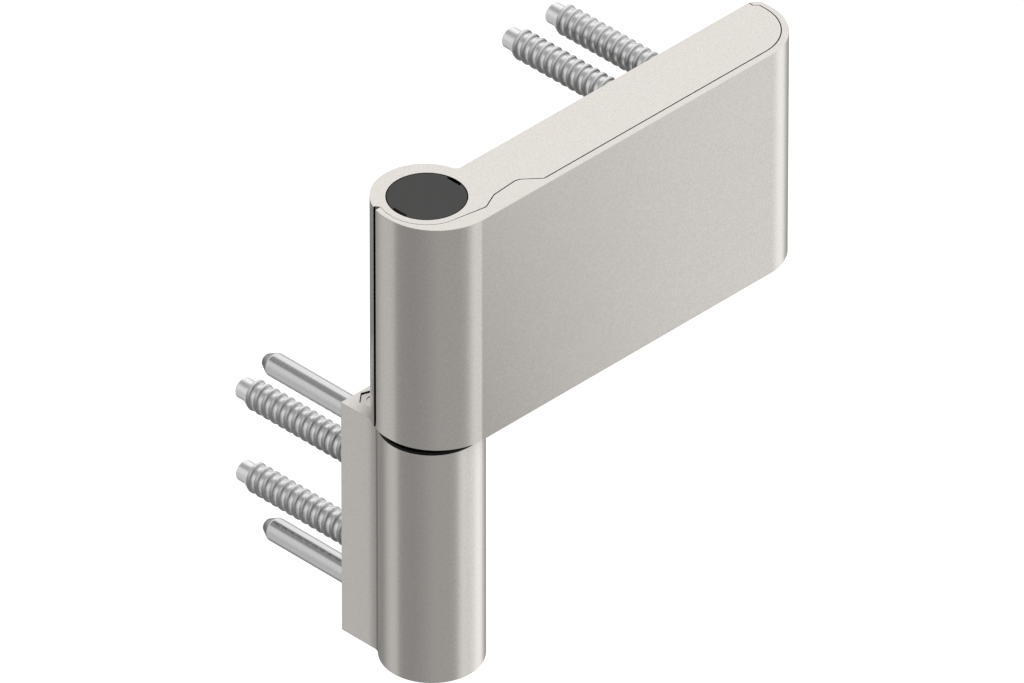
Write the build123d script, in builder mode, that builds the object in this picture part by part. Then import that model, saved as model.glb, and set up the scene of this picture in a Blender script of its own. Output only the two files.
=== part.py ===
from build123d import *
import os

# Surface-mounted door hinge, in millimetres.
# The origin is the centre of the frame part's back face. +X runs along the leaf when the door is
# shut, +Y into the door frame, and +Z up along the hinge pin.

# Fits between pieces
running_clearance = 0.05
snug_clearance = 0.02
slip_clearance = 0.1

# Hinge pin and its height adjustment
pin_reach = 18.5
pin_radius = 5.0
pin_foot_above_base = 11.6
pin_chamfer = 0.6
keyway_depth = 1.0
lift_up = 3.5
lift_down = 0.5
height_screw_radius = 6.0
height_screw_length = 8.0
height_screw_socket = 6.0
height_screw_socket_depth = 3.4

# Frame part: a cast core inside a smooth cover
frame_height = 56.6
barrel_radius = 11.0
flange_width = 15.0
junction_blend = 2.0
cover_wall = 1.0
cover_setback = 0.05
core_thread_span = 12.3
end_cap_thickness = 3.0
end_cap_slot_width = 1.2
end_cap_slot_length = 8.0
end_cap_slot_depth = 1.0

# Flanged bush of the frame part, with the black collar seen in the gap
bush_seat_radius = 7.2
bush_length = 9.0
collar_radius = 10.9
collar_thickness = 0.6

# Wood screws, all six alike
screw_radius = 3.25
screw_protrusion = 35.9
screw_seat_depth = 5.5
screw_shank_radius = 2.9
screw_head_radius = 5.0
screw_head_height = 3.6
screw_hole_radius = 3.4
head_room = 0.3
screw_socket = 4.0
screw_socket_depth = 2.4
frame_screw_edge = 18.0

# Dowels of the frame part
dowel_radius = 2.6
dowel_protrusion = 29.1
dowel_spigot_radius = 2.0
dowel_seat = 8.5
dowel_tip_length = 2.4
dowel_tip_radius = 1.3
dowel_edge = 7.75
dowel_relief = 0.75

# Nut and grub screw that lock the upper dowel, seen in the flange's top face
nut_across_flats = 5.5
nut_thickness = 2.4
nut_sunk = 0.3
nut_x = -1.8
nut_from_back = 3.9
nut_turn = 40.0
lock_screw_radius = 1.5
lock_screw_sunk = 0.5
lock_screw_socket = 1.5
lock_screw_socket_depth = 1.0

# Dog-point grub screw that keys the pin
key_screw_radius = 2.5
key_screw_sunk = 0.2
key_point_radius = 1.9
key_point_length = 1.6
key_screw_socket = 2.5
key_screw_socket_depth = 1.6

# Leaf: a cast body behind a clip-on cover
leaf_gap = 1.35
leaf_height = 54.1
leaf_barrel_radius = 11.1
leaf_barrel_rise = 1.8
leaf_back = 3.63
leaf_front = -12.66
leaf_end = 96.75
nose_radius = 13.5
end_radius = 12.0
end_back_radius = 2.6
neck_blend = 1.5

# Seam between the leaf's body and its cover, in plan, seen from the pin axis
seam_gap = 0.12
hook_gap = 1.0
hook_height = 6.2
hook_depth = 1.35
hook_blend = 0.5
seam_depth = 1.2
seam_barrel_start = 157.0
seam_barrel_end = 250.0
cover_thickness = 1.81
cover_end_wall = 1.4
dip = (5.8, -9.7)
rise = (9.9, -7.8)
crest = (17.0, -7.25)
fall_x = 21.2
bump_blends = [1.4, 2.5, 2.5, 0.6]
lip_reach = 0.95
lip_height = 1.28

# Leaf bore, eccentric bush and liner
bore_rise = 1.2
bore_radius = 8.0
cap_recess_radius = 8.35
cap_thickness = 2.0
shoulder_thickness = 4.5
key_hole_radius = 5.5
bush_lift = 0.4
bush_socket = 8.0
bush_socket_depth = 3.0
liner_wall = 1.0
bush_crown = 5.25
thrust_thickness = 2.0
thrust_radius = 5.6

# Barrel cap's pry notches
pry_width = 3.7
pry_depth = 0.9
pry_drop = 1.0

# Grub screw that locks the eccentric bush
bush_screw_radius = 2.5
bush_screw_sunk = 0.3
bush_screw_socket = 2.5
bush_screw_socket_depth = 1.5

# Leaf screws and the pocket for their heads
leaf_screw_x = 61.8
leaf_screw_pitch_x = 12.5
leaf_screw_edge = 9.9
rim = 3.0
pocket_corner = 2.0
screw_pocket_margin = 2.2

# Heights and spacings that follow from the sizes above
frame_top = frame_height / 2
frame_base = -frame_height / 2
core_top = frame_top - cover_wall - snug_clearance
leaf_base = frame_top + leaf_gap
leaf_top = leaf_base + leaf_height
leaf_middle = (leaf_base + leaf_top) / 2
shoulder_base = leaf_top - cap_thickness - shoulder_thickness
thrust_top = shoulder_base - bush_crown
pin_head = thrust_top - thrust_thickness
pin_foot = frame_base + pin_foot_above_base
thread_top = frame_base + end_cap_thickness + core_thread_span
thread_bore_radius = height_screw_radius + running_clearance
frame_screw_spacing = frame_height - 2 * frame_screw_edge
dowel_spacing = frame_height - 2 * dowel_edge
core_radius = barrel_radius - cover_wall - snug_clearance
core_width = flange_width - 2 * (cover_wall + snug_clearance)
core_blend = junction_blend + cover_wall + snug_clearance
bush_bore_radius = pin_radius + running_clearance + liner_wall + snug_clearance

os.makedirs("parts", exist_ok=True)


def pin_plane(height):
    """The level plane at a height, with its origin on the pin axis."""
    return Plane(origin=(0, -pin_reach, height), x_dir=(1, 0, 0), z_dir=(0, 0, 1))


def bore_plane(height):
    """The level plane at a height, with its origin on the leaf bore's axis."""
    return Plane(origin=(0, -pin_reach + bore_rise, height), x_dir=(1, 0, 0), z_dir=(0, 0, 1))


def hex_radius(across_flats):
    """The corner radius of a hexagon from its size across the flats."""
    return across_flats / 3**0.5


def save(builder, label):
    """Name a finished piece and write it to its file."""
    builder.part.label = label
    export_step(builder.part, f"parts/{label}.step")


def frame_section(radius, width, blend, back):
    """The frame part's section: a round barrel on a flange that ends at the back face."""
    with BuildSketch() as section:
        with Locations((0, -pin_reach)):
            Circle(radius)
        with Locations((0, (back - pin_reach) / 2)):
            Rectangle(width, pin_reach + back)
        fillet(section.vertices().group_by(Axis.Y)[-2], radius=blend)
    return section.sketch


# Frame core: barrel and flange with the pin's bore, the screws' and dowels' holes and the nut's pocket
with BuildPart() as frame_body:
    with BuildSketch(Plane.XY.offset(frame_base)):
        add(frame_section(core_radius, core_width, core_blend, 0))
    extrude(amount=core_top - frame_base)
    with BuildSketch(pin_plane(frame_base)):
        Circle(pin_radius + running_clearance)
    extrude(amount=frame_height, mode=Mode.SUBTRACT)
    with BuildSketch(pin_plane(frame_base)):
        Circle(thread_bore_radius)
    extrude(amount=thread_top - frame_base, mode=Mode.SUBTRACT)
    with BuildSketch(pin_plane(frame_top - bush_length)):
        Circle(bush_seat_radius)
    extrude(amount=bush_length, mode=Mode.SUBTRACT)
    with BuildSketch(Plane.XZ):
        with GridLocations(0, frame_screw_spacing, 1, 2):
            Circle(screw_hole_radius)
    extrude(amount=pin_reach, mode=Mode.SUBTRACT)
    with BuildSketch(Plane.XZ.offset(screw_seat_depth)):
        with GridLocations(0, frame_screw_spacing, 1, 2):
            Circle(screw_head_radius + head_room)
    extrude(amount=pin_reach + barrel_radius, mode=Mode.SUBTRACT)
    with BuildSketch(Plane.XZ):
        with GridLocations(0, dowel_spacing, 1, 2):
            Circle(dowel_spigot_radius + snug_clearance)
    extrude(amount=dowel_seat, mode=Mode.SUBTRACT)
    with BuildSketch(Plane.XZ):
        with GridLocations(0, dowel_spacing, 1, 2):
            Circle(dowel_radius + slip_clearance)
    extrude(amount=dowel_relief, mode=Mode.SUBTRACT)
    with BuildSketch(Plane.XZ.offset(pin_reach)):
        Circle(key_screw_radius + snug_clearance)
    extrude(amount=barrel_radius, mode=Mode.SUBTRACT)
    with BuildSketch(Plane.XY.offset(frame_top - nut_sunk - nut_thickness)):
        with Locations((nut_x, -nut_from_back)):
            RegularPolygon(hex_radius(nut_across_flats) + slip_clearance, 6, rotation=nut_turn)
    extrude(amount=nut_thickness, mode=Mode.SUBTRACT)
    with BuildSketch(Plane.XY.offset(dowel_spacing / 2)):
        with Locations((nut_x, -nut_from_back)):
            Circle(lock_screw_radius + slip_clearance)
    extrude(amount=frame_top - dowel_spacing / 2, mode=Mode.SUBTRACT)
save(frame_body, "frame_body")

# Frame cover: a thin shell over the core, open at the back and below, with one hexagonal window
with BuildPart() as frame_cover:
    with BuildSketch(Plane.XY.offset(frame_base)):
        add(frame_section(barrel_radius, flange_width, junction_blend, -cover_setback))
    extrude(amount=frame_height)
    with BuildSketch(Plane.XY.offset(frame_base)):
        add(frame_section(barrel_radius - cover_wall, flange_width - 2 * cover_wall,
                          junction_blend + cover_wall, 1))
    extrude(amount=frame_height - cover_wall, mode=Mode.SUBTRACT)
    with BuildSketch(pin_plane(frame_top)):
        Circle(bush_seat_radius)
    extrude(amount=-cover_wall, mode=Mode.SUBTRACT)
    with BuildSketch(Plane.XY.offset(frame_top)):
        with Locations((nut_x, -nut_from_back)):
            RegularPolygon(hex_radius(nut_across_flats) + slip_clearance, 6, rotation=nut_turn)
    extrude(amount=-cover_wall, mode=Mode.SUBTRACT)
save(frame_cover, "frame_cover")

# Flanged bush pressed into the core's mouth: the pin slides in it, and its collar shows in the gap
with BuildPart() as frame_bush:
    with BuildSketch(pin_plane(frame_top)):
        Circle(bush_seat_radius - snug_clearance)
    extrude(amount=snug_clearance - bush_length)
    with BuildSketch(pin_plane(frame_top)):
        Circle(collar_radius)
    extrude(amount=collar_thickness)
    with BuildSketch(pin_plane(frame_top + collar_thickness)):
        Circle(pin_radius + running_clearance)
    extrude(amount=-bush_length - collar_thickness, mode=Mode.SUBTRACT)
save(frame_bush, "frame_bush")

# End cap: closes the bore below the height screw, with a slot to prise it out
with BuildPart() as frame_end_cap:
    with BuildSketch(pin_plane(frame_base)):
        Circle(thread_bore_radius - snug_clearance)
    extrude(amount=end_cap_thickness)
    with BuildSketch(pin_plane(frame_base)):
        Rectangle(end_cap_slot_length, end_cap_slot_width)
    extrude(amount=end_cap_slot_depth, mode=Mode.SUBTRACT)
save(frame_end_cap, "frame_end_cap")

# Dowels: plain pins with a tapered nose, each held in the flange by a thinner spigot
for dowel_name, dowel_height in (("dowel_upper", dowel_spacing / 2), ("dowel_lower", -dowel_spacing / 2)):
    with BuildPart() as dowel:
        with BuildSketch(Plane.XY.offset(dowel_height)):
            with BuildLine():
                Polyline((0, snug_clearance - dowel_seat),
                         (dowel_spigot_radius, snug_clearance - dowel_seat),
                         (dowel_spigot_radius, 0), (dowel_radius, 0),
                         (dowel_radius, dowel_protrusion - dowel_tip_length),
                         (dowel_tip_radius, dowel_protrusion), (0, dowel_protrusion), close=True)
            make_face()
        revolve(axis=Axis((0, 0, dowel_height), (0, 1, 0)))
    save(dowel, dowel_name)

# Nut that stands in the flange's hexagonal pocket
with BuildPart() as dowel_lock_nut:
    with BuildSketch(Plane.XY.offset(frame_top - nut_sunk - nut_thickness)):
        with Locations((nut_x, -nut_from_back)):
            RegularPolygon(hex_radius(nut_across_flats), 6, rotation=nut_turn)
            Circle(lock_screw_radius + snug_clearance, mode=Mode.SUBTRACT)
    extrude(amount=nut_thickness)
save(dowel_lock_nut, "dowel_lock_nut")

# Grub screw in that nut: its flat end bears on the upper dowel's spigot
lock_edge = abs(nut_x) - lock_screw_radius
lock_screw_foot = dowel_spacing / 2 + (dowel_spigot_radius**2 - lock_edge**2) ** 0.5 + snug_clearance
with BuildPart() as dowel_lock_screw:
    with BuildSketch(Plane.XY.offset(lock_screw_foot)):
        with Locations((nut_x, -nut_from_back)):
            Circle(lock_screw_radius)
    extrude(amount=frame_top - lock_screw_sunk - lock_screw_foot)
    with BuildSketch(Plane.XY.offset(frame_top - lock_screw_sunk)):
        with Locations((nut_x, -nut_from_back)):
            RegularPolygon(hex_radius(lock_screw_socket), 6)
    extrude(amount=-lock_screw_socket_depth, mode=Mode.SUBTRACT)
save(dowel_lock_screw, "dowel_lock_screw")

# Key screw: its dog point runs in the pin's keyway, so the pin can rise but not turn
key_point_end = pin_radius - keyway_depth + slip_clearance
key_screw_outer = (core_radius**2 - key_screw_radius**2) ** 0.5 - key_screw_sunk
with BuildPart() as pin_key_screw:
    with BuildSketch(Plane.XZ.offset(pin_reach + key_point_end)):
        Circle(key_point_radius)
    extrude(amount=key_point_length)
    with BuildSketch(Plane.XZ.offset(pin_reach + key_point_end + key_point_length)):
        Circle(key_screw_radius)
    extrude(amount=key_screw_outer - key_point_end - key_point_length)
    with BuildSketch(Plane.XZ.offset(pin_reach + key_screw_outer)):
        RegularPolygon(hex_radius(key_screw_socket), 6)
    extrude(amount=-key_screw_socket_depth, mode=Mode.SUBTRACT)
save(pin_key_screw, "pin_key_screw")

# Hinge pin, with a flat-bottomed keyway as long as the height adjustment needs
keyway_width = 2 * (key_point_radius + running_clearance)
keyway_length = lift_up + lift_down + keyway_width
keyway_middle = (lift_down - lift_up) / 2
with BuildPart() as hinge_pin:
    with BuildSketch(pin_plane(pin_foot)):
        Circle(pin_radius)
    extrude(amount=pin_head - pin_foot)
    chamfer(hinge_pin.edges().group_by(Axis.Z)[0], length=pin_chamfer)
    with BuildSketch(Plane.XZ.offset(pin_reach + pin_radius - keyway_depth)):
        with Locations((0, keyway_middle)):
            SlotOverall(keyway_length, keyway_width, rotation=90)
    extrude(amount=keyway_depth, mode=Mode.SUBTRACT)
save(hinge_pin, "hinge_pin")

# Height screw: stands under the pin and lifts it, turned from below
with BuildPart() as height_screw:
    with BuildSketch(pin_plane(pin_foot)):
        Circle(height_screw_radius)
    extrude(amount=-height_screw_length)
    with BuildSketch(pin_plane(pin_foot - height_screw_length)):
        RegularPolygon(hex_radius(height_screw_socket), 6)
    extrude(amount=height_screw_socket_depth, mode=Mode.SUBTRACT)
save(height_screw, "height_screw")

# Thrust disc: lies on the pin's head and carries the leaf
with BuildPart() as thrust_disc:
    with BuildSketch(pin_plane(pin_head)):
        Circle(thrust_radius)
    extrude(amount=thrust_thickness)
save(thrust_disc, "thrust_disc")

# Plan of the whole leaf, with its barrel, and the zone in front of the seam that the cover fills
with BuildSketch() as leaf_plan:
    with Locations((0, leaf_barrel_rise)):
        Circle(leaf_barrel_radius)
    with BuildLine():
        nose_x = nose_radius - leaf_barrel_radius
        nose_y = leaf_front + nose_radius
        Line((-leaf_barrel_radius, leaf_barrel_rise), (-leaf_barrel_radius, nose_y))
        CenterArc((nose_x, nose_y), nose_radius, 180, 90)
        Line((nose_x, leaf_front), (leaf_end - end_radius, leaf_front))
        CenterArc((leaf_end - end_radius, leaf_front + end_radius), end_radius, 270, 90)
        Line((leaf_end, leaf_front + end_radius), (leaf_end, leaf_back - end_back_radius))
        CenterArc((leaf_end - end_back_radius, leaf_back - end_back_radius), end_back_radius, 0, 90)
        Polyline((leaf_end - end_back_radius, leaf_back), (0, leaf_back), (0, leaf_barrel_rise),
                 (-leaf_barrel_radius, leaf_barrel_rise))
    make_face()
    neck_x = (leaf_barrel_radius**2 - (leaf_back - leaf_barrel_rise) ** 2) ** 0.5
    fillet(leaf_plan.vertices().sort_by_distance((neck_x, leaf_back, 0))[0], radius=neck_blend)

seam_front = leaf_front + cover_thickness
seam_end = leaf_end - cover_end_wall
seam_end_radius = end_radius - cover_end_wall
lip_x = seam_end - lip_reach
beyond = 2 * leaf_barrel_radius
with BuildSketch() as cover_zone:
    with BuildLine() as seam:
        barrel_arc = CenterArc((0, bore_rise), leaf_barrel_radius - seam_depth, seam_barrel_start,
                               seam_barrel_end - seam_barrel_start)
        hook = FilletPolyline((-beyond, hook_height), (hook_depth - leaf_barrel_radius, hook_height),
                              barrel_arc @ 0, radius=hook_blend)
        bump = FilletPolyline(barrel_arc @ 1, dip, rise, crest, (fall_x, seam_front),
                              (seam_end - seam_end_radius, seam_front), radius=bump_blends)
        end_arc = CenterArc((seam_end - seam_end_radius, seam_front + seam_end_radius), seam_end_radius,
                            270, 90)
        Polyline(end_arc @ 1, (seam_end, leaf_back - lip_height - lip_reach),
                 (lip_x, leaf_back - lip_height), (lip_x, leaf_back + beyond),
                 (leaf_end + beyond, leaf_back + beyond), (leaf_end + beyond, leaf_front - beyond),
                 (-beyond, leaf_front - beyond), (-beyond, hook_height))
    make_face()

# Leaf body: a thick bar with the barrel's bore, the cap's recess, the screws' pocket and holes
pocket_floor = pin_reach - leaf_back + screw_seat_depth
leaf_screw_row = leaf_height - 2 * leaf_screw_edge
leaf_screw_centre = leaf_screw_x + leaf_screw_pitch_x / 2
screw_pocket_half = leaf_screw_pitch_x / 2 + screw_head_radius + screw_pocket_margin
pocket_height = leaf_height - 2 * rim
bush_screw_outer = leaf_barrel_rise + leaf_barrel_radius
with BuildPart() as leaf_body:
    with BuildSketch(pin_plane(leaf_base)):
        add(leaf_plan.sketch)
        add(cover_zone.sketch, mode=Mode.SUBTRACT)
    extrude(amount=leaf_height)
    with BuildSketch(bore_plane(leaf_base)):
        Circle(bore_radius)
    extrude(amount=shoulder_base - leaf_base, mode=Mode.SUBTRACT)
    with BuildSketch(bore_plane(shoulder_base)):
        Circle(key_hole_radius)
    extrude(amount=leaf_top - shoulder_base, mode=Mode.SUBTRACT)
    with BuildSketch(bore_plane(leaf_top)):
        Circle(cap_recess_radius)
    extrude(amount=-cap_thickness, mode=Mode.SUBTRACT)
    with BuildSketch(Plane.XZ.offset(pocket_floor)):
        with Locations((leaf_screw_centre, leaf_middle)):
            RectangleRounded(2 * screw_pocket_half, pocket_height, pocket_corner)
    extrude(amount=barrel_radius, mode=Mode.SUBTRACT)
    with BuildSketch(Plane.XZ.offset(pin_reach - leaf_back)):
        with Locations((leaf_screw_centre, leaf_middle)):
            with GridLocations(leaf_screw_pitch_x, leaf_screw_row, 2, 2):
                Circle(screw_hole_radius)
    extrude(amount=screw_seat_depth, mode=Mode.SUBTRACT)
    with BuildSketch(Plane.XZ.offset(pin_reach - bush_screw_outer)):
        with Locations((0, leaf_middle)):
            Circle(bush_screw_radius + snug_clearance)
    extrude(amount=bush_screw_outer - bore_rise, mode=Mode.SUBTRACT)
save(leaf_body, "leaf_body")

# Leaf cover: one extrusion round the front, clipped behind the barrel and over the leaf's end
with BuildPart() as leaf_cover:
    with BuildSketch(pin_plane(leaf_base)):
        add(cover_zone.sketch)
        offset(amount=-seam_gap, mode=Mode.REPLACE)
        add(leaf_plan.sketch, mode=Mode.INTERSECT)
        with Locations((-leaf_barrel_radius, hook_height)):
            Rectangle(beyond, 2 * hook_gap, mode=Mode.SUBTRACT)
    extrude(amount=leaf_height)
save(leaf_cover, "leaf_cover")

# Eccentric bush: turns in the leaf's bore, while its own bore stays on the pin
bush_base = leaf_base + bush_lift
with BuildPart() as eccentric_bush:
    with BuildSketch(bore_plane(bush_base)):
        Circle(bore_radius - running_clearance)
    extrude(amount=shoulder_base - bush_base)
    with BuildSketch(pin_plane(bush_base)):
        Circle(bush_bore_radius)
    extrude(amount=thrust_top - bush_base, mode=Mode.SUBTRACT)
    with BuildSketch(bore_plane(shoulder_base)):
        RegularPolygon(hex_radius(bush_socket), 6)
    extrude(amount=-bush_socket_depth, mode=Mode.SUBTRACT)
save(eccentric_bush, "eccentric_bush")

# Liner: the plastic bearing sleeve between the eccentric bush and the pin
with BuildPart() as pin_liner:
    with BuildSketch(pin_plane(bush_base)):
        Circle(bush_bore_radius - snug_clearance)
        Circle(pin_radius + running_clearance, mode=Mode.SUBTRACT)
    extrude(amount=pin_head - bush_base)
save(pin_liner, "pin_liner")

# Barrel cap: a flush disc with a pry notch at each side
with BuildPart() as barrel_cap:
    with BuildSketch(bore_plane(leaf_top)):
        Circle(cap_recess_radius - running_clearance)
    extrude(amount=-cap_thickness)
    with BuildSketch(bore_plane(leaf_top)):
        with GridLocations(2 * cap_recess_radius, 0, 2, 1):
            Rectangle(2 * pry_depth, pry_width)
    extrude(amount=-pry_drop, mode=Mode.SUBTRACT)
save(barrel_cap, "barrel_cap")

# Grub screw at the barrel's back that locks the eccentric bush
bush_screw_inner = bore_rise + bore_radius + snug_clearance
bush_screw_back = bush_screw_outer - bush_screw_sunk
with BuildPart() as bush_lock_screw:
    with BuildSketch(Plane.XZ.offset(pin_reach - bush_screw_back)):
        with Locations((0, leaf_middle)):
            Circle(bush_screw_radius)
    extrude(amount=bush_screw_back - bush_screw_inner)
    with BuildSketch(Plane.XZ.offset(pin_reach - bush_screw_back)):
        with Locations((0, leaf_middle)):
            RegularPolygon(hex_radius(bush_screw_socket), 6)
    extrude(amount=bush_screw_socket_depth, mode=Mode.SUBTRACT)
save(bush_lock_screw, "bush_lock_screw")

# Wood screws: two through the frame part's flange and four through the leaf
leaf_face = leaf_back - pin_reach
upper_row = leaf_middle + leaf_screw_row / 2
lower_row = leaf_middle - leaf_screw_row / 2
outer_column = leaf_screw_x + leaf_screw_pitch_x
screw_places = (
    ("frame_screw_upper", 0, 0, frame_screw_spacing / 2),
    ("frame_screw_lower", 0, 0, -frame_screw_spacing / 2),
    ("leaf_screw_inner_upper", leaf_screw_x, leaf_face, upper_row),
    ("leaf_screw_inner_lower", leaf_screw_x, leaf_face, lower_row),
    ("leaf_screw_outer_upper", outer_column, leaf_face, upper_row),
    ("leaf_screw_outer_lower", outer_column, leaf_face, lower_row),
)
for screw_name, screw_x, face_y, screw_z in screw_places:
    seat_y = face_y - screw_seat_depth
    head_y = seat_y - screw_head_height
    tip_y = face_y + screw_protrusion
    with BuildPart() as screw:
        with BuildSketch(Plane.XY.offset(screw_z)):
            with BuildLine():
                Polyline((screw_x, head_y), (screw_x + screw_head_radius, head_y),
                         (screw_x + screw_head_radius, seat_y), (screw_x + screw_shank_radius, seat_y),
                         (screw_x + screw_shank_radius, face_y), (screw_x + screw_radius, face_y),
                         (screw_x + screw_radius, tip_y), (screw_x, tip_y), close=True)
            make_face()
        revolve(axis=Axis((screw_x, 0, screw_z), (0, 1, 0)))
        with BuildSketch(Plane.XZ.offset(-head_y)):
            with Locations((screw_x, screw_z)):
                RegularPolygon(hex_radius(screw_socket), 6)
        extrude(amount=-screw_socket_depth, mode=Mode.SUBTRACT)
    save(screw, screw_name)
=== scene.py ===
"""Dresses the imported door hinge: detailed metal and plastic pieces, studio light and the camera."""

import logging
import math
from dataclasses import dataclass
from enum import Enum
from typing import Callable, Iterable, Sequence

import bmesh
import bpy
from mathutils import Matrix, Vector


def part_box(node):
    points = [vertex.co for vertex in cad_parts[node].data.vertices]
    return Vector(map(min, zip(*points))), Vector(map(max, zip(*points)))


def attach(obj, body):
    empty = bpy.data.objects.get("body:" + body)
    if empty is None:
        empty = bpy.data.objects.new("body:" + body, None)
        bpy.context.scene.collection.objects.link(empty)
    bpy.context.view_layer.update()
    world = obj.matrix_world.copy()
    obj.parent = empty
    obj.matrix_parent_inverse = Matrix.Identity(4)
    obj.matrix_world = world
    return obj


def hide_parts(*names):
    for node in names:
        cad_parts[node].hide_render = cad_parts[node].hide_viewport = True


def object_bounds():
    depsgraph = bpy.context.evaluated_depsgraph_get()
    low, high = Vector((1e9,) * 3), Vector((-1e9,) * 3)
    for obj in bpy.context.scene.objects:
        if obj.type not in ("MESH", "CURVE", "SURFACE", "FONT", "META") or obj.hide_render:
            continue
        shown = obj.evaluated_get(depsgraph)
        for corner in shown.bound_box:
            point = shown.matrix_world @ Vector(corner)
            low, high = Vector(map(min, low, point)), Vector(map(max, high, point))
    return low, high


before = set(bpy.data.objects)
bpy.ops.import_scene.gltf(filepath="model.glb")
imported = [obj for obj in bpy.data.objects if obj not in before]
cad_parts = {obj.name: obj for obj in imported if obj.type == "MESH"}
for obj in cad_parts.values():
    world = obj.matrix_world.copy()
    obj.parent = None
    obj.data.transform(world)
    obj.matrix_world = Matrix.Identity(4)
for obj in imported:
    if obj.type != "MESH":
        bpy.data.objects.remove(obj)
cad_box = [list(corner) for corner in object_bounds()]

logging.basicConfig(level=logging.INFO, format="%(message)s")
log = logging.getLogger("hinge")

MM = 0.001
MERGE_DISTANCE = 1e-6
ARC_STEP = 3.0
SHARP_ANGLE = math.radians(32.0)
FLAT_ANGLE = math.radians(0.5)
CREST = "crest"
WHITE = (1.0, 1.0, 1.0, 1.0)

Point = Sequence[float]


class Body(Enum):
    """The bodies that new pieces ride on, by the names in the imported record."""

    FRAME = "frame"
    LEAF = "leaf"


class Axis(Enum):
    """The directions that pieces are turned about or drawn along."""

    Y = Vector((0.0, 1.0, 0.0))
    Z = Vector((0.0, 0.0, 1.0))


# Shader nodes, and the groups shared by the finishes

# The share of open sky at which the painted crevice shade is darkest, and the upward slant past which crests
# lose their painted shade, as painted light
CLOSED_IN = 0.12
UPWARD = (0.45, 0.95)
# The leaf's flat front: how it faces, where it lies in millimetres, and how the shade painted on it falls off
FRONT_FACING = (-0.998, -0.9999)
FRONT_X = (2.4, 84.75)
FRONT_Z = (29.65, 83.75)
FRONT_CURVE = 1.6
FRONT_HEIGHT_SHARE = (1.2, 0.75)
FRONT_BASE = 0.03
# The height of a finish's fine relief, in millimetres
RELIEF_DEPTH = 0.02
# The hollow between the frame's flange and barrel, and how far its shade reaches, in millimetres
JUNCTION = (7.5, -10.45, 0.0)
JUNCTION_REACH = (0.6, 3.0)


def add_node(
    tree: bpy.types.NodeTree,
    kind: str,
    links: dict[str | int, object] | None = None,
    **settings: object,
) -> bpy.types.Node:
    """Add a node, set its properties and fill its inputs.

    Args:
        tree: The node tree.
        kind: The node's type name.
        links: Input name or number to a socket to link from, or a plain value.
        **settings: Properties of the node itself.

    Returns:
        The new node.
    """
    node = tree.nodes.new(kind)
    for name, value in settings.items():
        setattr(node, name, value)
    for key, value in (links or {}).items():
        if isinstance(value, bpy.types.NodeSocket):
            tree.links.new(value, node.inputs[key])
        else:
            node.inputs[key].default_value = value
    return node


def calculate(tree: bpy.types.NodeTree, operation: str, *values: object) -> bpy.types.NodeSocket:
    """Add a math node.

    Args:
        tree: The node tree.
        operation: What the node does.
        *values: Sockets or numbers, in the order of the node's inputs.

    Returns:
        The socket with the result.
    """
    return add_node(tree, "ShaderNodeMath", dict(enumerate(values)), operation=operation).outputs[0]


def map_range(
    tree: bpy.types.NodeTree,
    value: bpy.types.NodeSocket,
    source: Sequence[object],
    target: Sequence[object] = (0.0, 1.0),
    kind: str = "LINEAR",
) -> bpy.types.NodeSocket:
    """Add a map range node, which stays within its target.

    Args:
        tree: The node tree.
        value: The socket to map.
        source: Where the value starts and ends, as sockets or numbers.
        target: What it becomes there, as sockets or numbers.
        kind: How it runs in between.

    Returns:
        The socket with the result.
    """
    ends = {"From Min": source[0], "From Max": source[1], "To Min": target[0], "To Max": target[1]}
    node = add_node(tree, "ShaderNodeMapRange", {"Value": value, **ends}, interpolation_type=kind)
    return node.outputs["Result"]


def along(
    tree: bpy.types.NodeTree, vector: bpy.types.NodeSocket, direction: Vector
) -> bpy.types.NodeSocket:
    """Measure a vector along a direction.

    Args:
        tree: The node tree.
        vector: The socket with the vector.
        direction: The direction, of length 1.

    Returns:
        The socket with the length.
    """
    node = add_node(tree, "ShaderNodeVectorMath", {0: vector, 1: direction}, operation="DOT_PRODUCT")
    return node.outputs["Value"]


def mix_color(tree: bpy.types.NodeTree, share: object, one: object, other: object) -> bpy.types.NodeSocket:
    """Mix two colours.

    Args:
        tree: The node tree.
        share: The socket with the second colour's share.
        one: The first colour, as a socket or a value.
        other: The second colour, as a socket or a value.

    Returns:
        The socket with the mixed colour.
    """
    node = add_node(tree, "ShaderNodeMix", {"Factor": share, 6: one, 7: other}, data_type="RGBA")
    return node.outputs[2]


def new_group(name: str, amounts: dict[str, float], results: Sequence[str] = ()) -> bpy.types.NodeTree:
    """Start a node group that takes a colour and some amounts, and gives a colour.

    Args:
        name: The group's name.
        amounts: The names and usual values of its other inputs.
        results: The names of its other outputs.

    Returns:
        The empty group, with its input and output nodes.
    """
    group = bpy.data.node_groups.new(name, "ShaderNodeTree")
    color = group.interface.new_socket(name="Color", in_out="INPUT", socket_type="NodeSocketColor")
    color.default_value = (0.8, 0.8, 0.8, 1.0)
    for label, value in amounts.items():
        socket = group.interface.new_socket(name=label, in_out="INPUT", socket_type="NodeSocketFloat")
        socket.default_value = value
    group.interface.new_socket(name="Color", in_out="OUTPUT", socket_type="NodeSocketColor")
    for label in results:
        group.interface.new_socket(name=label, in_out="OUTPUT", socket_type="NodeSocketFloat")
    group.nodes.new("NodeGroupInput")
    group.nodes.new("NodeGroupOutput")
    return group


def give_scaled(tree: bpy.types.NodeTree, level: bpy.types.NodeSocket) -> None:
    """Let a group give out the colour that it takes, scaled by a level.

    Args:
        tree: The group.
        level: The socket with the level.
    """
    color = tree.nodes["Group Input"].outputs["Color"]
    scaled = add_node(tree, "ShaderNodeVectorMath", {0: color, "Scale": level}, operation="SCALE")
    tree.links.new(scaled.outputs["Vector"], tree.nodes["Group Output"].inputs["Color"])


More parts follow.
